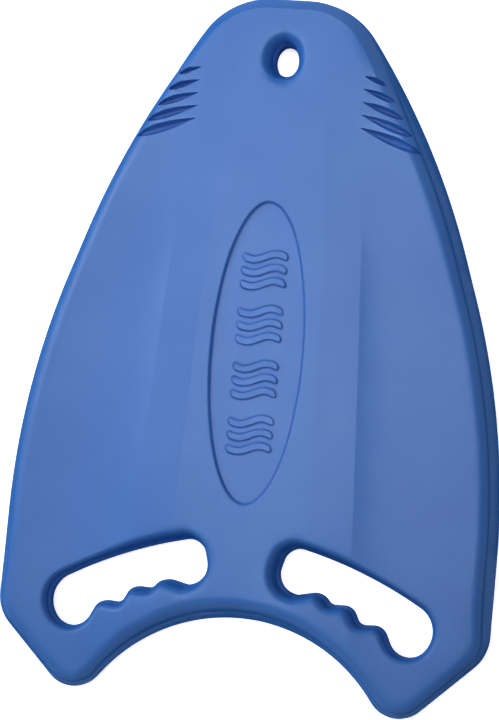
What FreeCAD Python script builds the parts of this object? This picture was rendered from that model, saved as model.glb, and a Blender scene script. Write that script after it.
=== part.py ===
import FreeCAD, Part
import math
import os

from FreeCAD import Vector

# Kickboard float: a swimmer's board moulded from closed-cell foam. Millimetres.
# The board lies flat with its deck up: +Z up, +Y towards the nose, +X to the right as seen from above.
# The origin is on the centreline, at mid-length, on the plane that the underside rests on.

# ---- driving dimensions -------------------------------------------------------------------------
LENGTH = 440.0              # nose to the tips of the feet
THICKNESS = 34.0            # resting plane to the middle of the deck
NOSE_Y = LENGTH / 2
FLAT_NOSE_Y = 60.0          # the underside is flat from here ...
FLAT_TAIL_Y = -95.0         # ... back to here, and rises in an arc beyond each
UNDERSIDE_RADII = (2600.0, 900.0)   # rise towards the nose, rise towards the tail
PARTING_HEIGHT = 15.5       # parting line above the resting plane, where the underside is flat
PARTING_RADII = (3500.0, 9000.0)
FLARE = 4.5                 # how far the lower half stands out past the upper half at the parting line
OPENING_FLARE = 1.4         # the same inside the openings
LOWER_EDGE_RADIUS = 3.5
UPPER_EDGE_RADIUS = 5.0
OPENING_EDGE_RADIUS = 5.5
SKIN = 5.0                  # thickness of the dense moulded skin

# Corners of the plan outline, nose to tail on the right side: x, y, corner radius.
OUTLINE_HALF = (
    (38.0, NOSE_Y, 51.0),
    (98.0, 136.0, 500.0),
    (155.5, -37.0, 500.0),
    (155.5, -177.0, 27.0),
    (100.0, -230.4, 20.5),
)
TAIL_ARC_CORNER = (0.0, -97.0, 107.0)

# Corners of the right hand slot, with three finger scallops along its tail side.
SLOT = (
    (27.0, -120.0, 11.0),
    (77.0, -131.5, 270.0),
    (127.5, -160.5, 17.0),
    (104.5, -196.0, 13.0),
    (89.7, -164.3, 9.0),
    (75.2, -165.3, 5.4),
    (69.7, -154.0, 8.4),
    (56.4, -154.5, 5.0),
    (50.2, -146.9, 10.4),
    (34.2, -150.6, 6.0),
    (20.0, -146.0, 12.4),
)

HANG_HOLE_Y = 180.5
HANG_HOLE_HALF_WIDTH = 7.4
HANG_HOLE_HALF_LENGTH = 9.6

# Deck stations from tail to nose: y, centre height, crease half-width, crease height,
# rim half-width, rim height. Between the crease and the rim the deck is a hollow side panel.
DECK_STATIONS = (
    (-235.0, 26.0, 74.0, 25.0, 146.0, 21.5),
    (-170.0, 31.6, 71.0, 29.4, 144.0, 24.2),
    (-100.0, 34.0, 68.0, 31.0, 140.0, 24.6),
    (-33.0, 34.0, 64.5, 31.2, 128.0, 25.2),
    (30.0, 34.0, 61.0, 31.2, 113.0, 26.4),
    (85.0, 33.4, 57.0, 30.9, 94.0, 29.0),
    (135.0, 31.6, 50.0, 30.2, 79.0, 29.7),
    (180.0, 29.4, 40.0, 29.0, 60.0, 28.7),
    (235.0, 25.8, 30.0, 25.6, 50.0, 25.4),
)
PLATEAU_SHARE = 0.62        # flat middle of the deck, as a share of the crease half-width
PANEL_POWER = 3.4           # 1 is a straight panel, more is hollower

OVAL_Y = -4.2
OVAL_HALF_WIDTH = 29.2
OVAL_HALF_LENGTH = 94.0
OVAL_DEPTH = 2.3

# Raised waves in the oval: groups of three wave lines.
WAVE_GROUPS = 4
WAVES_IN_GROUP = 3
GROUP_PITCH = 34.0
WAVE_PITCH = 8.4
WAVE_MIDDLE_Y = -4.0
WAVE_HALF_LENGTH = 14.0
WAVE_SWING = 2.1
WAVE_WIDTH = 4.2
WAVE_RISE = 1.4
WAVE_POINTS = 13            # points that each long side of a wave is drawn through

# Finger grooves of each grip, first to last from the nose: inner tip, spacing, run and width.
GRIP_COUNT = 5
GRIP_TIP = (51.8, 171.8)
GRIP_PITCH = 8.1
GRIP_RUN = (13.5, 37.5)
GRIP_WIDTH = (3.6, 6.6)
GRIP_FALL = 0.34            # drop towards the tail per unit of run
GRIP_WIDEST = 0.62          # where along its run a groove is widest
GRIP_DEPTH = 3.2            # below the deck at the inner tip


# ---- plan curves --------------------------------------------------------------------------------
def mirrored(corners):
    """The same corners on the other side of the centreline, in the opposite order."""
    return [(-x, y, radius) for x, y, radius in reversed(corners)]


def outline_corners():
    return list(OUTLINE_HALF) + [TAIL_ARC_CORNER] + mirrored(OUTLINE_HALF)


def rounded_wire(corners, height, grow=0.0):
    """Closed wire through the corners, each rounded by its own arc.

    grow moves the whole curve outwards by that distance, keeping every arc concentric.
    """
    points = [Vector(x, y, height) for x, y, _ in corners]
    count = len(points)
    area = sum(points[i - 1].x * points[i].y - points[i].x * points[i - 1].y for i in range(count))
    turn = 1.0 if area > 0 else -1.0
    starts, middles, ends = [], [], []
    for i in range(count):
        here = points[i]
        back = (points[i - 1] - here).normalize()
        ahead = (points[(i + 1) % count] - here).normalize()
        half_angle = back.getAngle(ahead) / 2
        bisector = (back + ahead).normalize()
        radius = corners[i][2]
        centre = here + bisector * (radius / math.sin(half_angle))
        tangent = radius / math.tan(half_angle)
        convex = (ahead.cross(back)).z * turn > 0
        new_radius = radius + grow if convex else radius - grow
        start = centre + (here + back * tangent - centre) * (new_radius / radius)
        end = centre + (here + ahead * tangent - centre) * (new_radius / radius)
        starts.append(start)
        middles.append(centre - bisector * new_radius)
        ends.append(end)
    edges = []
    for i in range(count):
        edges.append(Part.Arc(starts[i], middles[i], ends[i]).toShape())
        following = starts[(i + 1) % count]
        if (following - ends[i]).Length > 1e-6:
            edges.append(Part.makeLine(ends[i], following))
    return Part.Wire(edges)


def prism(corners, low, high, grow=0.0):
    wire = rounded_wire(corners, low, grow)
    return Part.Face(wire).extrude(Vector(0, 0, high - low))


# ---- solids that the board is cut from ----------------------------------------------------------
REACH = 175.0               # half the side of every cutting solid, beyond the outline everywhere
LOW = -20.0                 # every cutting solid starts below the board and ends above it
HIGH = 60.0
BLOCK_MARGIN = 1.0          # the board's own prism is this much shorter at each end
GRID_X = 40                 # spans of the grid that the deck surface is drawn through
GRID_Y = 50
GRID_END = NOSE_Y + 15.0


def side_profile(height, radii):
    """Side view curve as edges from nose to tail: arc, flat, arc."""
    def rise(run, radius):
        return radius - math.sqrt(radius * radius - run * run)

    def arc(y_flat, y_end, radius):
        y_half = (y_flat + y_end) / 2
        return [
            Vector(-REACH, y_flat, height),
            Vector(-REACH, y_half, height + rise(y_half - y_flat, radius)),
            Vector(-REACH, y_end, height + rise(y_end - y_flat, radius)),
        ]

    nose = arc(FLAT_NOSE_Y, GRID_END, radii[0])
    tail = arc(FLAT_TAIL_Y, -GRID_END, radii[1])
    edges = [
        Part.Arc(nose[2], nose[1], nose[0]).toShape(),
        Part.makeLine(nose[0], tail[0]),
        Part.Arc(tail[0], tail[1], tail[2]).toShape(),
    ]
    return edges, nose[2], tail[2]


def space_below(height, radii):
    """Everything below a surface that is flat in the middle and rises towards nose and tail."""
    edges, nose, tail = side_profile(height, radii)
    floor_tail = Vector(-REACH, tail.y, LOW)
    floor_nose = Vector(-REACH, nose.y, LOW)
    edges.append(Part.makeLine(tail, floor_tail))
    edges.append(Part.makeLine(floor_tail, floor_nose))
    edges.append(Part.makeLine(floor_nose, nose))
    return Part.Face(Part.Wire(edges)).extrude(Vector(2 * REACH, 0, 0))


def station_values(y):
    """Deck measures at any y: a smooth curve through the stations, with level ends."""
    rows = DECK_STATIONS
    k = 0
    while k < len(rows) - 2 and y > rows[k + 1][0]:
        k += 1
    near, far = rows[k], rows[k + 1]
    before = rows[max(k - 1, 0)]
    after = rows[min(k + 2, len(rows) - 1)]
    span = far[0] - near[0]
    t = (y - near[0]) / span
    values = []
    for i in range(1, len(near)):
        slope_near = (far[i] - before[i]) / (far[0] - before[0]) * span
        slope_far = (after[i] - near[i]) / (after[0] - near[0]) * span
        value = (2 * t ** 3 - 3 * t ** 2 + 1) * near[i] + (t ** 3 - 2 * t ** 2 + t) * slope_near
        value += (3 * t ** 2 - 2 * t ** 3) * far[i] + (t ** 3 - t ** 2) * slope_far
        values.append(value)
    return values


def deck_height(x, y):
    """Height of the deck: flat middle, gently falling shoulder, hollow side panel, level rim."""
    centre, crease_x, crease, rim_x, rim = station_values(y)
    flat_x = PLATEAU_SHARE * crease_x
    x = abs(x)
    if x <= flat_x:
        return centre
    if x <= crease_x:
        return centre + (crease - centre) * (x - flat_x) / (crease_x - flat_x)
    if x >= rim_x:
        return rim
    hollow = (rim_x - x) / (rim_x - crease_x)
    return rim + (crease - rim) * hollow ** PANEL_POWER


def space_below_deck(drop=0.0):
    rows = []
    for i in range(GRID_X + 1):
        x = -REACH + 2 * REACH * i / GRID_X
        row = []
        for j in range(GRID_Y + 1):
            y = -GRID_END + 2 * GRID_END * j / GRID_Y
            row.append(Vector(x, y, deck_height(x, y) - drop))
        rows.append(row)
    surface = Part.BSplineSurface()
    surface.interpolate(rows)
    return surface.toShape().extrude(Vector(0, 0, -HIGH))


def hang_hole(grow):
    ellipse = Part.Ellipse(Vector(0, HANG_HOLE_Y, LOW),
                           HANG_HOLE_HALF_LENGTH + grow, HANG_HOLE_HALF_WIDTH + grow)
    wire = Part.Wire([ellipse.toShape()])
    wire.rotate(Vector(0, HANG_HOLE_Y, LOW), Vector(0, 0, 1), 90)
    return Part.Face(wire).extrude(Vector(0, 0, HIGH - LOW))


def openings(grow):
    slot = prism(SLOT, LOW, HIGH, grow)
    return [slot, mirror_copy(slot), hang_hole(grow)]


def mirror_copy(shape):
    """The same shape on the other side of the centreline."""
    return shape.mirror(Vector(0, 0, 0), Vector(1, 0, 0))


def board_block(outline_grow, opening_grow):
    """The plan outline with its three openings, as a tall prism."""
    block = prism(outline_corners(), LOW + BLOCK_MARGIN, HIGH - BLOCK_MARGIN, outline_grow)
    return block.cut(openings(opening_grow))


# ---- edge rounding ------------------------------------------------------------------------------
SLOT_NEARNESS = 4.0         # an edge this close round a slot belongs to the slot
HOLE_NEARNESS = 2 * HANG_HOLE_HALF_LENGTH
LEVEL_NORMAL = 1e-3         # a face is upright when its normal rises less than this


def is_upright(face):
    low_u, high_u, low_v, high_v = face.ParameterRange
    normal = face.normalAt((low_u + high_u) / 2, (low_v + high_v) / 2)
    return abs(normal.z) < LEVEL_NORMAL


def rim_edges(solid, is_upper, is_wanted):
    """Edges between an upright wall and the upper (or lower) surface, where is_wanted(x, y) holds."""
    found = []
    for face in solid.Faces:
        if is_upright(face):
            continue
        outward = face.normalAt(*face.Surface.parameter(face.CenterOfMass))
        if (outward.z > 0) != is_upper:
            continue
        for edge in face.Edges:
            walls = [other for other in solid.ancestorsOfType(edge, Part.Face) if is_upright(other)]
            if len(walls) != 1:
                continue
            middle = edge.valueAt((edge.FirstParameter + edge.LastParameter) / 2)
            if is_wanted(middle.x, middle.y):
                found.append(edge)
    return found


def at_hole(x, y):
    return math.hypot(x, y - HANG_HOLE_Y) < HOLE_NEARNESS


NEAR_SLOT = prism(SLOT, -1.0, 1.0, SLOT_NEARNESS)


def at_slot(x, y):
    """True next to a hand slot: inside the slot's outline grown by a few millimetres."""
    return NEAR_SLOT.isInside(Vector(abs(x), y, 0.0), 0.01, True)


def at_outline(x, y):
    return not at_hole(x, y) and not at_slot(x, y)


# ---- shapes moulded into the deck -----------------------------------------------------------------
def wave_bar(y_middle):
    """One raised wave line: a bar that follows one full turn of a sine curve across the oval."""
    def long_side(offset):
        steps = range(WAVE_POINTS)
        xs = [WAVE_HALF_LENGTH * (2.0 * k / (WAVE_POINTS - 1) - 1.0) for k in steps]
        turn = math.pi / WAVE_HALF_LENGTH
        curve = Part.BSplineCurve()
        floor = THICKNESS - 2 * OVAL_DEPTH
        curve.interpolate([Vector(x, y_middle + WAVE_SWING * math.sin(turn * x) + offset, floor) for x in xs])
        return curve.toShape()

    upper = long_side(WAVE_WIDTH / 2)
    lower = long_side(-WAVE_WIDTH / 2)
    ends = [Part.makeLine(upper.Vertexes[i].Point, lower.Vertexes[i].Point) for i in (0, 1)]
    outline = Part.Wire(Part.__sortEdges__([upper, ends[1], lower, ends[0]]))
    return Part.Face(outline).extrude(Vector(0, 0, OVAL_DEPTH + WAVE_RISE))


def oval_recess():
    """The material that is taken out of the deck: an oval slab with the raised waves left standing."""
    floor = THICKNESS - OVAL_DEPTH
    ellipse = Part.Ellipse(Vector(0, OVAL_Y, floor), OVAL_HALF_LENGTH, OVAL_HALF_WIDTH)
    wire = Part.Wire([ellipse.toShape()])
    wire.rotate(Vector(0, OVAL_Y, floor), Vector(0, 0, 1), 90)
    recess = Part.Face(wire).extrude(Vector(0, 0, HIGH))
    bars = []
    for group in range(WAVE_GROUPS):
        group_y = WAVE_MIDDLE_Y + GROUP_PITCH * (group - (WAVE_GROUPS - 1) / 2)
        for line in range(WAVES_IN_GROUP):
            bars.append(wave_bar(group_y + WAVE_PITCH * (line - (WAVES_IN_GROUP - 1) / 2)))
    return recess.cut(bars)


def grip_groove(index):
    """One finger groove of the right grip: a leaf with a sharp inner tip, widest past its middle."""
    share = index / (GRIP_COUNT - 1)
    run = GRIP_RUN[0] + (GRIP_RUN[1] - GRIP_RUN[0]) * share
    width = GRIP_WIDTH[0] + (GRIP_WIDTH[1] - GRIP_WIDTH[0]) * share
    tip_x = GRIP_TIP[0]
    tip_y = GRIP_TIP[1] - GRIP_PITCH * index
    end_x = tip_x + run
    end_y = tip_y - GRIP_FALL * run
    floor = deck_height(tip_x, tip_y) - GRIP_DEPTH
    tip = Vector(tip_x, tip_y, floor)
    end = Vector(end_x, end_y, floor)
    widest = tip + (end - tip) * GRIP_WIDEST
    half_width = Vector(0, width / 2, 0)
    wire = Part.Wire([
        Part.Arc(tip, widest + half_width, end).toShape(),
        Part.Arc(end, widest - half_width, tip).toShape(),
    ])
    groove = Part.Face(wire).extrude(Vector(0, 0, HIGH))
    drop = deck_height(tip_x, tip_y) - deck_height(end_x, end_y)
    groove.rotate(tip, Vector(0, 1, 0), math.degrees(math.atan2(drop, run)))
    return groove


def grip_grooves():
    right = [grip_groove(i) for i in range(GRIP_COUNT)]
    return right + [mirror_copy(groove) for groove in right]


# ---- the three pieces -----------------------------------------------------------------------------
def upper_half():
    half = board_block(-FLARE, OPENING_FLARE).common(space_below_deck())
    half = half.cut(space_below(PARTING_HEIGHT, PARTING_RADII)).Solids[0]
    half = half.makeFillet(UPPER_EDGE_RADIUS, rim_edges(half, True, at_outline))
    half = half.makeFillet(OPENING_EDGE_RADIUS, rim_edges(half, True, at_slot))
    half = half.makeFillet(OPENING_EDGE_RADIUS, rim_edges(half, True, at_hole))
    return half.cut(oval_recess()).cut(grip_grooves()).Solids[0]


def lower_half():
    half = board_block(0.0, 0.0).common(space_below(PARTING_HEIGHT, PARTING_RADII))
    half = half.cut(space_below(0.0, UNDERSIDE_RADII)).Solids[0]
    half = half.makeChamfer(FLARE, rim_edges(half, True, at_outline))
    half = half.makeChamfer(OPENING_FLARE, rim_edges(half, True, lambda x, y: not at_outline(x, y)))
    return half.makeFillet(LOWER_EDGE_RADIUS, rim_edges(half, False, lambda x, y: True)).Solids[0]


def foam_core():
    block = board_block(-FLARE - SKIN, OPENING_FLARE + SKIN)
    core = block.common(space_below_deck(SKIN))
    return core.cut(space_below(SKIN, UNDERSIDE_RADII)).Solids[0]


def main():
    os.makedirs("parts", exist_ok=True)
    core = foam_core()
    pieces = {
        "foam_core": core,
        "deck_shell": upper_half().cut(core),
        "underside_shell": lower_half().cut(core),
    }
    for name, shape in pieces.items():
        if len(shape.Solids) != 1 or not shape.isValid():
            raise RuntimeError(name + " is not one valid solid")
        shape.Solids[0].exportStep("parts/%s.step" % name)
        box = shape.optimalBoundingBox()
        print(name, round(shape.Volume / 1000, 1), "cm3", box)


main()
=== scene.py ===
import math

import bpy
import numpy as np
from mathutils import Matrix, Vector
from mathutils.geometry import delaunay_2d_cdt


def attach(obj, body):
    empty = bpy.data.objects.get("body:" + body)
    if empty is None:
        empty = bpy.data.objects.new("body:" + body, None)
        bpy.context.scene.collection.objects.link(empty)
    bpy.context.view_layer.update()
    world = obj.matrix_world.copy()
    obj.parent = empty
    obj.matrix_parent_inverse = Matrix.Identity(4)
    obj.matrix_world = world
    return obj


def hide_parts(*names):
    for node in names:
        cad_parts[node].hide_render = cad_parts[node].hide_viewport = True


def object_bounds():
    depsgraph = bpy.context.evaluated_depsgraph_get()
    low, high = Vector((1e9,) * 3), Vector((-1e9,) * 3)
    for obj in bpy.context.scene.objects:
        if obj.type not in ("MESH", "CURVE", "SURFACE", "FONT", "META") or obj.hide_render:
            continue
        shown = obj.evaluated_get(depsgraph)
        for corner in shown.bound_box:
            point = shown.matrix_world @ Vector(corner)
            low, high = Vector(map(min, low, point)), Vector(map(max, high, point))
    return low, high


# A moulded foam kickboard: a deck skin and an underside skin that meet at the parting line on the
# edge, around the foam core that comes from the CAD frame. Shapes are worked out in millimetres on
# a board DRAWN_LENGTH long and scaled to the frame. +Y is the nose, +Z is up out of the deck.

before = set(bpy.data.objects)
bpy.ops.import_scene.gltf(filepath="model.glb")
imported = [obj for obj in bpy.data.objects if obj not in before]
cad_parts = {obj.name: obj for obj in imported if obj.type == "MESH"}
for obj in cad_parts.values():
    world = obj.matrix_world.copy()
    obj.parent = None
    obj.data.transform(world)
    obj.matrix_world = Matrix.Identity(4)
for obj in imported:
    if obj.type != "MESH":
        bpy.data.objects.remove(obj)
cad_low, cad_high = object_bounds()

DRAWN_LENGTH = 440.0
SCALE = (cad_high[1] - cad_low[1]) / DRAWN_LENGTH      # metres per drawn millimetre
NOSE_Y = DRAWN_LENGTH / 2
FRAME_HALF_WIDTH = (cad_high[0] - cad_low[0]) / 2 / SCALE

# ---- plan of the board ---------------------------------------------------------------------------
# Corners of the right half of the outline, nose to tail: x, y, corner radius.
OUTLINE_HALF = [
    (38.0, NOSE_Y, 51.0),
    (98.0, 136.0, 500.0),
    (155.5, -37.0, 500.0),
    (155.5, -177.0, 27.0),
    (100.0, -230.4, 20.5),
]
TAIL_ARC_CORNER = (0.0, -97.0, 107.0)

# Corners of the right hand slot, with three finger scallops along its tail side.
SLOT = [
    (27.0, -120.0, 11.0),
    (77.0, -131.5, 270.0),
    (127.5, -160.5, 17.0),
    (104.5, -196.0, 13.0),
    (89.7, -164.3, 9.0),
    (75.2, -165.3, 5.4),
    (69.7, -154.0, 8.4),
    (56.4, -154.5, 5.0),
    (50.2, -146.9, 10.4),
    (34.2, -150.6, 6.0),
    (20.0, -146.0, 12.4),
]
HOLE_Y = 180.5
HOLE_HALF_WIDTH = 7.4
HOLE_HALF_LENGTH = 9.6

# ---- section of the board ------------------------------------------------------------------------
FLAT_NOSE_Y = 60.0          # the underside is flat between these two, and rises in an arc beyond
FLAT_TAIL_Y = -95.0
UNDERSIDE_RADII = (2600.0, 900.0)
PARTING_HEIGHT = 15.5
PARTING_RADII = (3500.0, 9000.0)
FLARE = 5.4                 # the underside skin stands out past the deck skin at the parting line
NOSE_FLARE = 1.5            # the same round the nose
RIM_WIDTH = 9.0             # width of the rounding from the deck to the edge
NOSE_RIM_WIDTH = 7.0
RIM_FULLNESS = 2.3          # 2 is an elliptical rounding, 1 a plain bevel
NOSE_RIM_FULLNESS = 1.0
RIM_FOOT = 0.8              # upright height left between the rounding and the parting line
NOSE_BLEND = (130.0, 205.0) # where the edge changes from its side shape to its nose shape
FEET_FLARE = 3.0            # and round the two feet at the tail
FEET_BLEND = (-150.0, -185.0)
SEAM_FADE = (95.0, 135.0)   # where the parting groove fades towards the nose
SEAM_FADED_SHARE = 0.2      # how much of its depth is left there
OPENING_FLARE = 1.4
SLOT_EDGE = (5.6, 2.0)      # rounding of the slots: width and fullness
HOLE_EDGE = (5.5, 1.5)
OUTER_EDGE_SHARE = 0.55     # the rounding narrows to this share towards the outer ends of the slots
OUTER_BLEND = (60.0, 100.0) # between these distances from the centreline
OPENING_BAND = 3.0          # height of the sloping band below the parting line inside the openings
BOTTOM_RADIUS = 4.5
SEAM_DEPTH = 0.6            # the fine groove at the parting line
SEAM_WIDTH = 0.9
SKIN = 5.0
CORE_INSET = 9.5            # from the outline to the foam core
CAVITY_STEP = 0.3

# Deck stations from tail to nose: y, centre height, crease half-width, crease height,
# rim half-width, rim height. Between the crease and the rim the deck is a hollow side panel.
DECK_STATIONS = np.array([
    (-235.0, 26.0, 74.0, 25.0, 146.0, 21.5),
    (-170.0, 31.6, 71.0, 29.4, 144.0, 24.2),
    (-100.0, 34.0, 68.0, 31.0, 140.0, 24.6),
    (-33.0, 34.0, 64.5, 31.2, 128.0, 25.2),
    (30.0, 34.0, 61.0, 31.2, 113.0, 26.4),
    (85.0, 33.4, 57.0, 30.9, 94.0, 29.0),
    (135.0, 31.6, 50.0, 30.2, 79.0, 29.7),
    (180.0, 29.4, 40.0, 29.0, 60.0, 28.7),
    (235.0, 25.8, 30.0, 25.6, 50.0, 25.4),
])
PLATEAU_SHARE = 0.62
PANEL_POWER = 3.4

OVAL_Y = -4.2
OVAL_HALF_WIDTH = 29.2
OVAL_HALF_LENGTH = 94.0
OVAL_DEPTH = 2.3
OVAL_WALL = 1.2
OVAL_LIP = 0.5              # rounding of the deck just outside the oval

# Raised waves in the oval: groups of three wave lines.
WAVE_GROUPS = 4
WAVES_IN_GROUP = 3
GROUP_PITCH = 34.0
WAVE_PITCH = 8.4
WAVE_MIDDLE_Y = -4.0
WAVE_HALF_LENGTH = 14.5
WAVE_SWING = 2.1
WAVE_WIDTH = 5.0
WAVE_RISE = 1.4
WAVE_EDGE = 0.8

# Finger grooves of each grip, first to last from the nose: inner tip, spacing, run and width.
GRIP_COUNT = 5
GRIP_TIP = (51.8, 171.8)
GRIP_PITCH = 8.1
GRIP_RUN = (13.5, 37.5)
GRIP_WIDTH = (3.6, 6.6)
GRIP_FALL = 0.34            # drop towards the tail per unit of run
GRIP_DEPTH = 4.4
GRIP_HOLLOW = 2.5           # 1 is a V groove, 2 a round one, more is flatter with steeper sides
GRIP_WIDEST = 0.62          # where along its run a groove is widest


# ---- plan curves ---------------------------------------------------------------------------------
def mirrored(corners):
    """The same corners on the other side of the centreline, in the opposite order."""
    return [(-x, y, radius) for x, y, radius in reversed(corners)]


def smooth_step(t):
    t = np.clip(t, 0.0, 1.0)
    return t * t * (3.0 - 2.0 * t)


class CornerLoop:
    """A closed plan curve: straight runs between corners that are each rounded by an arc."""

    def __init__(self, corners):
        tips = np.array([(x, y) for x, y, _ in corners])
        after = np.roll(tips, -1, axis=0)
        area = np.sum(tips[:, 0] * after[:, 1] - after[:, 0] * tips[:, 1])
        self.arcs = []
        ends = []
        for i, tip in enumerate(tips):
            back = tips[i - 1] - tip
            ahead = after[i] - tip
            back /= np.linalg.norm(back)
            ahead /= np.linalg.norm(ahead)
            bisector = (back + ahead) / np.linalg.norm(back + ahead)
            half_angle = math.acos(np.clip(back @ ahead, -1.0, 1.0)) / 2
            radius = corners[i][2]
            centre = tip + bisector * radius / math.sin(half_angle)
            cross = ahead[0] * back[1] - ahead[1] * back[0]
            outward = 1.0 if cross * area > 0 else -1.0
            middle = math.atan2(-bisector[1], -bisector[0])
            sweep = math.pi - 2 * half_angle
            turn = -1.0 if cross < 0 else 1.0
            self.arcs.append((centre, radius, middle, sweep * turn, outward))
            run = radius / math.tan(half_angle)
            ends.append((tip + back * run, tip + ahead * run))
        count = len(tips)
        self.lines = [(ends[i][1], ends[(i + 1) % count][0]) for i in range(count)]

    def points(self, grow, spacing):
        """Points along the loop moved outwards by grow. Every grow has the same number of points."""
        rows = []
        for (centre, radius, middle, sweep, outward), (start, end) in zip(self.arcs, self.lines):
            steps = max(2, math.ceil(abs(sweep) * max(radius, 8.0) / spacing))
            angles = middle + sweep * (np.arange(steps + 1) / steps - 0.5)
            reach = radius + outward * grow
            arc = centre + reach * np.column_stack([np.cos(angles), np.sin(angles)])
            rows.append(arc)
            pieces = int(np.linalg.norm(end - start) // spacing)
            if pieces > 1:
                normal = outward * (arc[-1] - centre) / reach
                shares = np.arange(1, pieces)[:, None] / pieces
                rows.append(start + shares * (end - start) + grow * normal)
        return np.concatenate(rows)

    def distance(self, xy):
        """Distance of each point from the loop."""
        best = np.full(len(xy), 1e9)
        for centre, radius, middle, sweep, _ in self.arcs:
            away = xy - centre
            turned = np.arctan2(away[:, 1], away[:, 0]) - middle
            turned = (turned + math.pi) % (2 * math.pi) - math.pi
            on_arc = np.abs(turned) <= abs(sweep) / 2
            gap = np.abs(np.hypot(away[:, 0], away[:, 1]) - radius)
            best = np.where(on_arc, np.minimum(best, gap), best)
        for start, end in self.lines:
            along = end - start
            share = np.clip((xy - start) @ along / (along @ along + 1e-12), 0.0, 1.0)
            gap = xy - (start + share[:, None] * along)
            best = np.minimum(best, np.hypot(gap[:, 0], gap[:, 1]))
        return best


class EllipseLoop:
    """A closed plan curve: an ellipse on the centreline."""

    def __init__(self, y, half_width, half_length):
        self.y = y
        self.half = np.array([half_width, half_length])

    def points(self, grow, spacing):
        count = math.ceil(math.pi * self.half.sum() / spacing)
        angles = 2 * math.pi * np.arange(count) / count
        unit = np.column_stack([np.cos(angles), np.sin(angles)])
        normal = unit / self.half
        normal /= np.linalg.norm(normal, axis=1)[:, None]
        return unit * self.half + normal * grow + (0.0, self.y)

    def distance(self, xy):
        """Distance from the ellipse, by walking to the nearest point on it."""
        local = np.abs(xy - (0.0, self.y))
        angle = np.arctan2(local[:, 1] * self.half[0], local[:, 0] * self.half[1])
        a, b = self.half
        for _ in range(6):
            cos, sin = np.cos(angle), np.sin(angle)
            slope = (a * a - b * b) * cos * sin - local[:, 0] * a * sin + local[:, 1] * b * cos
            curve = (a * a - b * b) * (cos * cos - sin * sin) - local[:, 0] * a * cos - local[:, 1] * b * sin
            curve = np.where(np.abs(curve) < 1e-9, 1e-9, curve)
            angle = np.clip(angle - slope / curve, 0.0, math.pi / 2)
        return np.hypot(local[:, 0] - a * np.cos(angle), local[:, 1] - b * np.sin(angle))


def nose_share(y):
    """0 along the sides and tail, 1 round the nose."""
    return smooth_step((y - NOSE_BLEND[0]) / (NOSE_BLEND[1] - NOSE_BLEND[0]))


def flare_at(y):
    feet_share = smooth_step((y - FEET_BLEND[0]) / (FEET_BLEND[1] - FEET_BLEND[0]))
    return FLARE + (NOSE_FLARE - FLARE) * nose_share(y) + (FEET_FLARE - FLARE) * feet_share


def rim_width_at(y):
    return RIM_WIDTH + (NOSE_RIM_WIDTH - RIM_WIDTH) * nose_share(y)


def edge_ring(beyond_flare, rim_share):
    """Points round the outline, moved in by the flare plus a distance and a share of the rim width."""
    base = OUTLINE.points(0.0, OUTLINE_SPACING)
    normal = base - OUTLINE.points(-1.0, OUTLINE_SPACING)
    y = base[:, 1]
    inset = flare_at(y) + beyond_flare + rim_share * rim_width_at(y)
    return base - normal * inset[:, None]


OUTLINE = CornerLoop(OUTLINE_HALF + [TAIL_ARC_CORNER] + mirrored(OUTLINE_HALF))
RIGHT_SLOT = CornerLoop(SLOT)
LEFT_SLOT = CornerLoop(mirrored(SLOT))
HOLE = EllipseLoop(HOLE_Y, HOLE_HALF_WIDTH, HOLE_HALF_LENGTH)
OVAL = EllipseLoop(OVAL_Y, OVAL_HALF_WIDTH, OVAL_HALF_LENGTH)
OPENINGS = [RIGHT_SLOT, LEFT_SLOT, HOLE]
OPENING_EDGES = [SLOT_EDGE, SLOT_EDGE, HOLE_EDGE]


def inside(xy, polygon):
    """True for each point that lies inside the closed polygon."""
    result = np.zeros(len(xy), bool)
    x, y = xy[:, 0], xy[:, 1]
    for (x0, y0), (x1, y1) in zip(polygon, np.roll(polygon, -1, axis=0)):
        if y0 == y1:
            continue
        crosses = (y0 > y) != (y1 > y)
        result ^= crosses & (x < (x1 - x0) * (y - y0) / (y1 - y0) + x0)
    return result


# ---- heights -------------------------------------------------------------------------------------
def long_curve(y, height, radii):
    """Height that is flat along the middle of the board and rises in an arc towards nose and tail."""
    nose = np.maximum(y - FLAT_NOSE_Y, 0.0)
    tail = np.maximum(FLAT_TAIL_Y - y, 0.0)
    rise_nose = radii[0] - np.sqrt(radii[0] ** 2 - nose ** 2)
    rise_tail = radii[1] - np.sqrt(radii[1] ** 2 - tail ** 2)
    return height + rise_nose + rise_tail


def underside_height(y):
    return long_curve(y, 0.0, UNDERSIDE_RADII)


def parting_height(y):
    return long_curve(y, PARTING_HEIGHT, PARTING_RADII)


def station_values(y):
    """Deck measures at any y: smooth curves through the stations, as columns."""
    rows = DECK_STATIONS
    k = np.clip(np.searchsorted(rows[:, 0], y) - 1, 0, len(rows) - 2)
    near, far = rows[k], rows[k + 1]
    before = rows[np.maximum(k - 1, 0)]
    after = rows[np.minimum(k + 2, len(rows) - 1)]
    span = (far[:, :1] - near[:, :1])
    t = (y[:, None] - near[:, :1]) / span
    slope_near = (far - before) / (far[:, :1] - before[:, :1]) * span
    slope_far = (after - near) / (after[:, :1] - near[:, :1]) * span
    value = (2 * t ** 3 - 3 * t ** 2 + 1) * near + (t ** 3 - 2 * t ** 2 + t) * slope_near
    value += (3 * t ** 2 - 2 * t ** 3) * far + (t ** 3 - t ** 2) * slope_far
    return value[:, 1:].T


def deck_height(xy):
    """Deck without its edges: flat middle, gently falling shoulder, hollow side panel, level rim."""
    x = np.abs(xy[:, 0])
    centre, crease_x, crease, rim_x, rim = station_values(xy[:, 1])
    flat_x = PLATEAU_SHARE * crease_x
    shoulder = centre + (crease - centre) * np.clip((x - flat_x) / (crease_x - flat_x), 0.0, 1.0)
    hollow = np.clip((rim_x - x) / (rim_x - crease_x), 0.0, 1.0)
    panel = rim + (crease - rim) * hollow ** PANEL_POWER
    return np.where(x <= crease_x, shoulder, panel)


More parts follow.
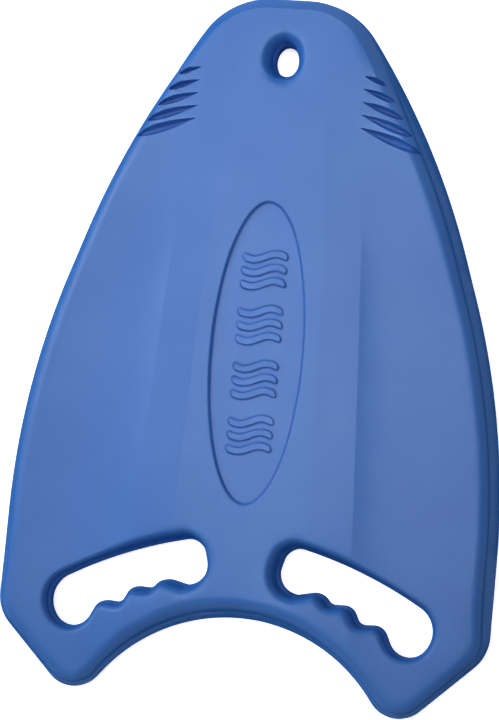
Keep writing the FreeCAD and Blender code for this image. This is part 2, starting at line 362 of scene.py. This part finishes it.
def edge_fall(distance, width, fall, fullness):
    """How far a rounded edge of the given width has dropped, at a distance in from its foot."""
    gap = np.clip(1.0 - distance / width, 0.0, 1.0)
    return fall * (1.0 - (1.0 - gap ** fullness) ** (1.0 / fullness))


def rounding(distance, radius):
    """How far a quarter-round edge has dropped, at a distance in from its foot."""
    gap = np.clip(radius - distance, 0.0, radius)
    return radius - np.sqrt(radius ** 2 - gap ** 2)


def oval_drop(xy):
    """Depth of the oval below the deck: a small rounded lip, a steep wall and a level floor."""
    ring = np.hypot(xy[:, 0] / OVAL_HALF_WIDTH, (xy[:, 1] - OVAL_Y) / OVAL_HALF_LENGTH)
    depth = OVAL.distance(xy) * np.where(ring < 1.0, 1.0, -1.0)
    return OVAL_DEPTH * smooth_step((depth + OVAL_LIP) / (OVAL_WALL + OVAL_LIP))


def wave_rise(xy):
    """Height of the raised waves above the floor of the oval."""
    x, y = xy[:, 0], xy[:, 1]
    turn = math.pi / WAVE_HALF_LENGTH
    slope = WAVE_SWING * turn * np.cos(turn * x)
    rise = np.zeros(len(xy))
    for group in range(WAVE_GROUPS):
        group_y = WAVE_MIDDLE_Y + GROUP_PITCH * (group - (WAVE_GROUPS - 1) / 2)
        for line in range(WAVES_IN_GROUP):
            line_y = group_y + WAVE_PITCH * (line - (WAVES_IN_GROUP - 1) / 2)
            across = np.abs(y - line_y - WAVE_SWING * np.sin(turn * x)) / np.sqrt(1 + slope ** 2)
            past_end = np.maximum(np.abs(x) - WAVE_HALF_LENGTH + WAVE_WIDTH / 2, 0.0)
            gap = WAVE_WIDTH / 2 - np.hypot(across, past_end)
            rise = np.maximum(rise, WAVE_RISE * smooth_step(gap / WAVE_EDGE))
    return rise


def grip_groove_measures(index):
    """Tip, run and greatest width of one finger groove on the right."""
    share = index / (GRIP_COUNT - 1)
    tip = np.array([GRIP_TIP[0], GRIP_TIP[1] - GRIP_PITCH * index])
    run = GRIP_RUN[0] + (GRIP_RUN[1] - GRIP_RUN[0]) * share
    width = GRIP_WIDTH[0] + (GRIP_WIDTH[1] - GRIP_WIDTH[0]) * share
    return tip, run, width


def groove_outline(along):
    """Width of a groove along its run, as a share of its greatest: a sharp tip and a blunter end."""
    rising = np.sin(math.pi / 2 * np.clip(along / GRIP_WIDEST, 0.0, 1.0))
    falling = np.cos(math.pi / 2 * np.clip((along - GRIP_WIDEST) / (1 - GRIP_WIDEST), 0.0, 1.0))
    return rising * np.sqrt(falling)


def grip_depth(xy):
    """Depth of the finger grooves below the deck."""
    x, y = np.abs(xy[:, 0]), xy[:, 1]
    depth = np.zeros(len(xy))
    for index in range(GRIP_COUNT):
        tip, run, width = grip_groove_measures(index)
        along = (x - tip[0]) / run
        in_run = (along > 0.0) & (along < 1.0)
        opening = groove_outline(np.where(in_run, along, 0.0)) + 1e-6
        across = np.abs(y - tip[1] + GRIP_FALL * (x - tip[0])) / (width / 2 * opening)
        bowl = np.clip(1.0 - across ** GRIP_HOLLOW, 0.0, 1.0)
        local = GRIP_DEPTH * np.sqrt(opening) * bowl
        depth = np.maximum(depth, np.where(in_run, local, 0.0))
    return depth


def rim_drop(xy, height):
    """Fall of the deck's rounded edge, from a height down to just above the parting line."""
    y = xy[:, 1]
    distance = OUTLINE.distance(xy) - flare_at(y)
    fullness = RIM_FULLNESS + (NOSE_RIM_FULLNESS - RIM_FULLNESS) * nose_share(y)
    return edge_fall(distance, rim_width_at(y), height - parting_height(y) - RIM_FOOT, fullness)


def deck_top(xy):
    """Outer surface of the deck skin."""
    level = deck_height(xy)
    height = level - rim_drop(xy, level)
    wall = level - parting_height(xy[:, 1]) - RIM_FOOT
    outward = smooth_step((np.abs(xy[:, 0]) - OUTER_BLEND[0]) / (OUTER_BLEND[1] - OUTER_BLEND[0]))
    narrowing = 1.0 - (1.0 - OUTER_EDGE_SHARE) * outward
    for opening, (width, fullness) in zip(OPENINGS, OPENING_EDGES):
        height -= edge_fall(opening.distance(xy) - OPENING_FLARE, width * narrowing, wall, fullness)
    return height - oval_drop(xy) + wave_rise(xy) - grip_depth(xy)


def core_share(xy):
    """1 over the foam core, 0 outside it, with a steep step between."""
    share = np.clip((OUTLINE.distance(xy) - CORE_INSET) / CAVITY_STEP, 0.0, 1.0)
    for opening in OPENINGS:
        gap = opening.distance(xy) - OPENING_FLARE - SKIN
        share = np.minimum(share, np.clip(gap / CAVITY_STEP, 0.0, 1.0))
    return share


def deck_inside(xy):
    """Inner surface of the deck skin: over the core, and along the parting line outside it."""
    parting = parting_height(xy[:, 1])
    over_core = np.maximum(deck_height(xy) - SKIN, parting)
    return parting + (over_core - parting) * core_share(xy)


def underside_top(xy):
    """Upper surface of the underside skin: the sloping band, the parting line, and under the core."""
    y = xy[:, 1]
    parting = parting_height(y)
    flare = flare_at(y)
    to_outline = OUTLINE.distance(xy)
    widest = underside_height(y) + BOTTOM_RADIUS
    band = widest + (parting - widest) * np.clip(to_outline / flare, 0.0, 1.0)
    faded = smooth_step((y - SEAM_FADE[0]) / (SEAM_FADE[1] - SEAM_FADE[0]))
    seam_depth = SEAM_DEPTH * (1.0 - (1.0 - SEAM_FADED_SHARE) * faded)
    band -= seam_depth * np.clip(1.0 - np.abs(to_outline - flare) / (SEAM_WIDTH / 2), 0.0, 1.0)
    for opening in OPENINGS:
        share = np.clip(opening.distance(xy) / OPENING_FLARE, 0.0, 1.0)
        band = np.minimum(band, parting - OPENING_BAND * (1.0 - share))
    under_core = underside_height(y) + SKIN
    return band + (under_core - band) * core_share(xy)


def underside_bottom(xy):
    height = underside_height(xy[:, 1]) + rounding(OUTLINE.distance(xy), BOTTOM_RADIUS)
    for opening in OPENINGS:
        height += rounding(opening.distance(xy), BOTTOM_RADIUS)
    return height


# ---- plan meshes ---------------------------------------------------------------------------------
OUTLINE_SPACING = 2.0
OPENING_SPACING = 1.2
GRID_SPACING = 3.4
GRID_CLEARANCE = 1.6
CAVITY_CLEARANCE = 2.0
DETAIL_CLEARANCE = 2.0      # the plain grid stays this far from finer rows of points
WALL_ROWS = (0.25, 0.5, 0.75)
SHARP_ANGLE = math.radians(38.0)    # faces that meet at more than this show a crisp edge


def round_shares(steps):
    """Shares of the radius that follow a quarter-round edge evenly, from its foot to its top."""
    return [1.0 - math.cos(math.pi / 2 * k / steps) for k in range(steps + 1)]


def plan_mesh(rings, boundary, extra_points):
    """Triangles between rings of points. rings and boundary are lists of closed polylines; the first
    boundary is the outline and the others are openings. Returns points and triangles."""
    points, edges = [], []
    count = 0
    for ring in rings + boundary:
        n = len(ring)
        points.append(ring)
        edges += [(count + i, count + (i + 1) % n) for i in range(n)]
        count += n
    points.append(extra_points)
    flat = [Vector(p) for p in np.concatenate(points)]
    verts, _, faces, _, _, _ = delaunay_2d_cdt(flat, edges, [], 0, 1e-4)
    xy = np.array([(v.x, v.y) for v in verts])
    triangles = np.array([f for f in faces if len(f) == 3])
    centres = xy[triangles].mean(axis=1)
    keep = inside(centres, boundary[0])
    for opening in boundary[1:]:
        keep &= ~inside(centres, opening)
    return xy, triangles[keep]


def even_grid(low, high, spacing):
    """A staggered grid of points that fills a rectangle."""
    columns = np.arange(low[0], high[0], spacing)
    rows = np.arange(low[1], high[1], spacing * 0.866)
    x, y = np.meshgrid(columns, rows)
    x = x + np.where(np.arange(len(rows))[:, None] % 2, spacing / 2, 0.0)
    return np.column_stack([x.ravel(), y.ravel()])


def both_sides(points):
    return np.concatenate([points, points * (-1.0, 1.0)])


def board_grid(outline_margin, opening_margin):
    """A staggered grid over the board, the same on both sides, clear of its edges by the margins.
    The sides and the openings have their own margin."""
    right_half = even_grid((GRID_SPACING / 2, -NOSE_Y), (FRAME_HALF_WIDTH, NOSE_Y), GRID_SPACING)
    xy = both_sides(right_half)
    keep = inside(xy, OUTLINE.points(0.0, 4.0)) & (OUTLINE.distance(xy) > outline_margin)
    for opening in OPENINGS:
        keep &= (opening.distance(xy) > opening_margin) & ~inside(xy, opening.points(0.0, 1.0))
    return xy[keep]


def opening_rings(offsets):
    """For each opening a list of rings, moved out from it by each offset."""
    return [[opening.points(offset, OPENING_SPACING) for offset in offsets] for opening in OPENINGS]


def build_plan(outline_rings, rings_by_opening, other_rings, points):
    """Plan mesh bounded by the first ring of the outline and of each opening."""
    boundary = [outline_rings[0]] + [rings[0] for rings in rings_by_opening]
    inner = outline_rings[1:] + other_rings
    for rings in rings_by_opening:
        inner += rings[1:]
    return plan_mesh(inner, boundary, points)


def boundary_loops(triangles):
    """Ordered closed loops of vertex indices round the edge of a triangle mesh."""
    directed = np.concatenate([triangles[:, [0, 1]], triangles[:, [1, 2]], triangles[:, [2, 0]]])
    pairs = {(int(a), int(b)) for a, b in directed}
    following = {a: b for a, b in pairs if (b, a) not in pairs}
    loops = []
    while following:
        start, here = following.popitem()
        loop = [start]
        while here != start:
            loop.append(here)
            here = following.pop(here)
        loops.append(loop)
    return loops


def closed_skin(name, upper_plan, upper_height, lower_plan, lower_height):
    """A closed mesh between two surfaces whose plans end on the same loops, joined there by walls."""
    upper_xy, upper_triangles = upper_plan
    lower_xy, lower_triangles = lower_plan
    upper = np.column_stack([upper_xy, upper_height(upper_xy)])
    lower = np.column_stack([lower_xy, lower_height(lower_xy)])
    below_at = {(round(x, 3), round(y, 3)): i + len(upper) for i, (x, y) in enumerate(lower_xy.tolist())}
    verts = [upper, lower]
    total = len(upper) + len(lower)
    faces = upper_triangles.tolist()
    faces += [[a + len(upper), c + len(upper), b + len(upper)] for a, b, c in lower_triangles.tolist()]
    for loop in boundary_loops(upper_triangles):
        top = upper[loop]
        foot = [below_at[round(x, 3), round(y, 3)] for x, y in top[:, :2].tolist()]
        bottom = lower[np.array(foot) - len(upper)]
        above = loop
        for share in WALL_ROWS:
            verts.append(top + (bottom - top) * share)
            row = list(range(total, total + len(loop)))
            total += len(loop)
            faces += wall_faces(above, row)
            above = row
        faces += wall_faces(above, foot)
    return new_mesh(name, np.concatenate(verts), faces)


def wall_faces(above, below):
    count = len(above)
    return [(above[(i + 1) % count], above[i], below[i], below[(i + 1) % count]) for i in range(count)]


def new_mesh(name, verts, faces):
    mesh = bpy.data.meshes.new(name)
    mesh.from_pydata((verts * SCALE).tolist(), [], faces)
    mesh.update()
    mesh.polygons.foreach_set("use_smooth", np.ones(len(mesh.polygons), bool))
    mesh.set_sharp_from_angle(angle=SHARP_ANGLE)
    made = bpy.data.objects.new(name, mesh)
    bpy.context.scene.collection.objects.link(made)
    return made


# ---- the two skins -------------------------------------------------------------------------------
GROOVE_STEP = 0.6           # spacing of the mesh in the finger grooves
GROOVE_ROWS = (-1.0, -0.85, -0.6, -0.3, 0.0, 0.3, 0.6, 0.85, 1.0)     # across half a groove's width
GROOVE_LIP = 0.5
WAVE_STEP = 0.6             # and over the raised waves
RIM_SHARES = round_shares(9) + [1.07]       # rings round the edge, the last just inside the rounding
OVAL_SPACING = 1.5
OVAL_RINGS = (1.0, 0.5, 0.2, -0.1, -0.4, -0.8, -1.2, -1.7)            # distances out from the oval
CREASE_STEP = 2.0
CREASE_BEND = 0.4           # half the width over which a crease turns


def groove_points():
    """Rows of points that follow each finger groove, on both sides."""
    rows = []
    for index in range(GRIP_COUNT):
        tip, run, width = grip_groove_measures(index)
        along = np.arange(-0.5, run + 1.0, GROOVE_STEP)
        half = width / 2 * groove_outline(np.clip(along / run, 0.0, 1.0))
        for across in GROOVE_ROWS:
            rows.append(np.column_stack([tip[0] + along, tip[1] - GRIP_FALL * along + across * half]))
        for side in (-1.0, 1.0):
            y = tip[1] - GRIP_FALL * along + side * (half + GROOVE_LIP)
            rows.append(np.column_stack([tip[0] + along, y]))
    return both_sides(np.concatenate(rows))


def wave_points():
    half_width = WAVE_HALF_LENGTH + 1.0
    half_height = GROUP_PITCH * WAVE_GROUPS / 2
    low = (-half_width, WAVE_MIDDLE_Y - half_height)
    high = (half_width, WAVE_MIDDLE_Y + half_height)
    return even_grid(low, high, WAVE_STEP)


def crease_points():
    """Lines of points along both creases and both edges of the plateau."""
    y = np.arange(-NOSE_Y + 20.0, NOSE_Y - 20.0, CREASE_STEP)
    crease_x = station_values(y)[1]
    lines = []
    for share in (1.0, PLATEAU_SHARE):
        for beside in (-CREASE_BEND, 0.0, CREASE_BEND):
            lines.append(np.column_stack([crease_x * share + beside, y]))
    return both_sides(np.concatenate(lines))


def clear_of(points, detail, spacing):
    """The points that have no detail point within the spacing, found on a coarse grid of cells."""
    cells = {tuple(cell) for cell in np.floor(detail / spacing).astype(int).tolist()}
    taken = [tuple(cell) in cells for cell in np.floor(points / spacing).astype(int).tolist()]
    return points[~np.array(taken)]


def deck_skin():
    outline_rings = [edge_ring(0.0, share) for share in RIM_SHARES]
    openings = opening_rings([OPENING_FLARE + SLOT_EDGE[0] * share for share in round_shares(8)])
    oval_rings = [OVAL.points(grow, OVAL_SPACING) for grow in OVAL_RINGS]
    outline_margin = FLARE + RIM_WIDTH + GRID_CLEARANCE
    opening_margin = OPENING_FLARE + SLOT_EDGE[0] + GRID_CLEARANCE
    detail = np.concatenate([groove_points(), wave_points()])
    crease = crease_points()
    keep = (OUTLINE.distance(crease) > outline_margin) & (np.abs(OVAL.distance(crease)) > GRID_CLEARANCE)
    for opening in OPENINGS:
        keep &= (opening.distance(crease) > opening_margin) & ~inside(crease, opening.points(0.0, 2.0))
    crease = clear_of(crease[keep], detail, DETAIL_CLEARANCE)
    grid = board_grid(outline_margin, opening_margin)
    grid = grid[OVAL.distance(grid) > 2.0 + GRID_CLEARANCE]
    grid = clear_of(grid, np.concatenate([detail, crease]), DETAIL_CLEARANCE)
    upper = build_plan(outline_rings, openings, oval_rings, np.concatenate([grid, detail, crease]))
    cavity_rings = [OUTLINE.points(-CORE_INSET - step, OUTLINE_SPACING) for step in (0.0, CAVITY_STEP)]
    cavity_openings = opening_rings([OPENING_FLARE, OPENING_FLARE + SKIN, OPENING_FLARE + SKIN + CAVITY_STEP])
    cavity_grid = board_grid(CORE_INSET + CAVITY_CLEARANCE, OPENING_FLARE + SKIN + CAVITY_CLEARANCE)
    lower = build_plan([outline_rings[0]] + cavity_rings, cavity_openings, [], cavity_grid)
    return closed_skin("deck_skin", upper, deck_top, lower, deck_inside)


def underside_skin():
    outline = OUTLINE.points(0.0, OUTLINE_SPACING)
    half_seam = SEAM_WIDTH / 2
    seam_rings = [edge_ring(beyond, 0.0) for beyond in (-half_seam, 0.0, half_seam)]
    cavity_rings = [OUTLINE.points(-CORE_INSET - step, OUTLINE_SPACING) for step in (0.0, CAVITY_STEP)]
    openings = opening_rings([0.0, OPENING_FLARE, OPENING_FLARE + SKIN, OPENING_FLARE + SKIN + CAVITY_STEP])
    grid = board_grid(CORE_INSET + CAVITY_CLEARANCE, OPENING_FLARE + SKIN + CAVITY_CLEARANCE)
    upper = build_plan([outline] + seam_rings + cavity_rings, openings, [], grid)
    offsets = [BOTTOM_RADIUS * share for share in round_shares(6)]
    foot_rings = [OUTLINE.points(-offset, OUTLINE_SPACING) for offset in offsets]
    foot_grid = board_grid(BOTTOM_RADIUS + GRID_CLEARANCE, BOTTOM_RADIUS + GRID_CLEARANCE)
    lower = build_plan(foot_rings, opening_rings(offsets), [], foot_grid)
    return closed_skin("underside_skin", upper, underside_top, lower, underside_bottom)


# ---- materials -----------------------------------------------------------------------------------
class NodeTree:
    """Short calls for building a material's nodes."""

    def __init__(self, material):
        material.use_nodes = True
        self.tree = material.node_tree
        self.shader = self.tree.nodes["Principled BSDF"]
        self.place = self.add("ShaderNodeTexCoord").outputs["Object"]

    def add(self, kind, **inputs):
        node = self.tree.nodes.new(kind)
        for name, value in inputs.items():
            self.put(node.inputs[name.replace("_", " ")], value)
        return node

    def put(self, socket, value):
        if isinstance(value, bpy.types.NodeSocket):
            self.tree.links.new(value, socket)
        else:
            socket.default_value = value

    def noise(self, scale, detail, roughness=0.5):
        node = self.add("ShaderNodeTexNoise", Vector=self.place, Scale=scale, Detail=detail)
        node.inputs["Roughness"].default_value = roughness
        return node.outputs["Fac"]

    def cells(self, scale):
        return self.add("ShaderNodeTexVoronoi", Vector=self.place, Scale=scale).outputs["Distance"]

    def remap(self, value, low, high, new_low, new_high):
        node = self.add("ShaderNodeMapRange", Value=value)
        node.inputs["From Min"].default_value = low
        node.inputs["From Max"].default_value = high
        node.inputs["To Min"].default_value = new_low
        node.inputs["To Max"].default_value = new_high
        return node.outputs["Result"]

    def maths(self, operation, first, second):
        node = self.tree.nodes.new("ShaderNodeMath")
        node.operation = operation
        self.put(node.inputs[0], first)
        self.put(node.inputs[1], second)
        return node.outputs["Value"]

    def blend(self, share, first, second):
        node = self.tree.nodes.new("ShaderNodeMix")
        node.data_type = "RGBA"
        self.put(node.inputs["Factor"], share)
        self.put(node.inputs[6], first)
        self.put(node.inputs[7], second)
        return node.outputs[2]


FOAM_BLUE = (0.031, 0.144, 0.49, 1.0)
FOAM_PALE = (0.050, 0.184, 0.54, 1.0)
FOAM_DEEP = (0.022, 0.121, 0.455, 1.0)
# FOAM_SHADE is a painted shade colour for creases and recesses; FOAM_PALE also serves as the painted
# highlight on ridges.
FOAM_SHADE = (0.010, 0.058, 0.30, 1.0)


def moulded_foam(name, pore_size, grain_height, gloss):
    """Closed-cell foam with a moulded skin: cloudy tone, fine grain, shallow pores, painted highlight on
    ridges and painted shade in recesses. Its gloss fades where it is seen edge-on, as on a finely rough
    surface."""
    material = bpy.data.materials.new(name)
    nodes = NodeTree(material)
    clouds = nodes.remap(nodes.noise(26.0, 3.0), 0.35, 0.65, 0.0, 1.0)
    grain = nodes.noise(1500.0, 4.0, 0.62)
    pores = nodes.remap(nodes.cells(1.0 / pore_size), 0.0, 0.35, 0.0, 1.0)
    tone = nodes.blend(nodes.maths("MULTIPLY", clouds, 0.35), FOAM_BLUE, FOAM_PALE)
    tone = nodes.blend(nodes.remap(grain, 0.35, 0.65, 0.28, 0.0), tone, FOAM_DEEP)
    bend = nodes.add("ShaderNodeNewGeometry").outputs["Pointiness"]
    # Painted highlight: convex ridges and lips are blended towards FOAM_PALE, standing in for the light that
    # catches them.
    painted_edge_highlight = nodes.remap(bend, 0.505, 0.56, 0.0, 0.45)
    tone = nodes.blend(painted_edge_highlight, tone, FOAM_PALE)
    # Painted shade: creases, groove floors, the foot of the oval and the parting groove are darkened towards
    # FOAM_SHADE, standing in for the shade that falls in them.
    painted_crease_shade = nodes.remap(bend, 0.44, 0.495, 0.7, 0.0)
    tone = nodes.blend(painted_crease_shade, tone, FOAM_SHADE)
    nodes.put(nodes.shader.inputs["Base Color"], tone)
    nodes.put(nodes.shader.inputs["Roughness"], nodes.remap(grain, 0.3, 0.7, 0.40, 0.52))
    edge_on = nodes.add("ShaderNodeLayerWeight", Blend=0.5).outputs["Facing"]
    shine = nodes.remap(edge_on, 0.25, 0.6, gloss, 0.0)
    nodes.put(nodes.shader.inputs["Specular IOR Level"], shine)
    surface = nodes.maths("ADD", grain, nodes.maths("MULTIPLY", pores, 0.5))
    bump = nodes.add("ShaderNodeBump", Height=surface, Distance=grain_height, Strength=0.5)
    nodes.put(nodes.shader.inputs["Normal"], bump.outputs["Normal"])
    return material


def cut_foam(name):
    """The open cells of the core, where it has no moulded skin."""
    material = bpy.data.materials.new(name)
    nodes = NodeTree(material)
    cells = nodes.remap(nodes.cells(700.0), 0.0, 0.5, 0.0, 1.0)
    tone = nodes.blend(cells, FOAM_DEEP, FOAM_PALE)
    nodes.put(nodes.shader.inputs["Base Color"], tone)
    nodes.shader.inputs["Roughness"].default_value = 0.85
    bump = nodes.add("ShaderNodeBump", Height=cells, Distance=0.0004, Strength=0.8)
    nodes.put(nodes.shader.inputs["Normal"], bump.outputs["Normal"])
    return material


deck = deck_skin()
underside = underside_skin()
deck.data.materials.append(moulded_foam("deck_foam", 0.0011, 0.00007, 0.5))
underside.data.materials.append(moulded_foam("underside_foam", 0.0016, 0.00012, 0.45))
for skin, node in ((deck, "deck_shell"), (underside, "underside_shell")):
    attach(skin, "root")
    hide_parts(node)
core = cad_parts["foam_core"]
core.material_slots[0].material = cut_foam("core_foam")

# ---- stage, light and camera ---------------------------------------------------------------------
FLOOR_GLOW = 0.75           # added where the camera sees the floor, so that the paper reads as white

floor_mesh = bpy.data.meshes.new("floor")
floor_mesh.from_pydata([(-4, -4, 0), (4, -4, 0), (4, 4, 0), (-4, 4, 0)], [], [(0, 1, 2, 3)])
floor = bpy.data.objects.new("floor", floor_mesh)
floor.location.z = cad_low[2] - 0.0005
bpy.context.scene.collection.objects.link(floor)


def white_paper():
    material = bpy.data.materials.new("floor_paper")
    nodes = NodeTree(material)
    nodes.shader.inputs["Base Color"].default_value = (0.9, 0.9, 0.9, 1.0)
    nodes.shader.inputs["Roughness"].default_value = 0.9
    nodes.shader.inputs["Emission Color"].default_value = (1.0, 1.0, 1.0, 1.0)
    seen = nodes.add("ShaderNodeLightPath").outputs["Is Camera Ray"]
    nodes.put(nodes.shader.inputs["Emission Strength"], nodes.maths("MULTIPLY", seen, FLOOR_GLOW))
    return material


floor.data.materials.append(white_paper())


def facing(place, aim, up):
    """Matrix of something that stands at place, looks at aim and has its top towards up."""
    place, aim, up = (np.array(v, float) for v in (place, aim, up))
    back = (place - aim) / np.linalg.norm(place - aim)
    right = np.cross(up, back)
    right /= np.linalg.norm(right)
    top = np.cross(back, right)
    rows = [[right[i], top[i], back[i], place[i]] for i in range(3)]
    return Matrix(rows + [[0, 0, 0, 1]])


def area_light(name, place, aim, size, spread, power):
    """A soft light: size is its width and its length, which runs along the board."""
    data = bpy.data.lights.new(name, "AREA")
    data.shape = "RECTANGLE"
    data.size, data.size_y = size
    data.spread = math.radians(spread)
    data.energy = power
    light = bpy.data.objects.new(name, data)
    light.matrix_world = facing(place, aim, (0, 1, 0))
    bpy.context.scene.collection.objects.link(light)


area_light("left_strip", (-0.34, 0.2, 1.9), (0.0, 0.06, 0.0), (0.12, 0.8), 22, 0.24)
area_light("right_strip", (0.34, 0.25, 1.9), (0.0, 0.1, 0.0), (0.12, 0.8), 22, 0.255)
area_light("side", (-1.2, 0.5, 1.0), (0.0, 0.0, 0.0), (0.7, 0.7), 180, 14.0)
world = bpy.data.worlds.new("studio")
world.use_nodes = True
world.node_tree.nodes["Background"].inputs["Color"].default_value = (1, 1, 1, 1)
world.node_tree.nodes["Background"].inputs["Strength"].default_value = 0.194
bpy.context.scene.world = world
bpy.context.scene.view_settings.view_transform = "Standard"

# The camera stands over the board, a little to its right, with the nose at the top of the picture.
CAMERA_PLACE = np.array([284.2, -96.8, 1605.3])
CAMERA_AIM = np.array([-6.6, -8.2, 19.0])
CAMERA_UP = np.array([-0.0763, 0.9946, 0.0699])

camera_data = bpy.data.cameras.new("camera")
camera_data.lens = 130.0
camera_data.sensor_width = 36.0
camera = bpy.data.objects.new("camera", camera_data)
camera.matrix_world = facing(CAMERA_PLACE * SCALE, CAMERA_AIM * SCALE, CAMERA_UP)
bpy.context.scene.collection.objects.link(camera)
bpy.context.scene.camera = camera
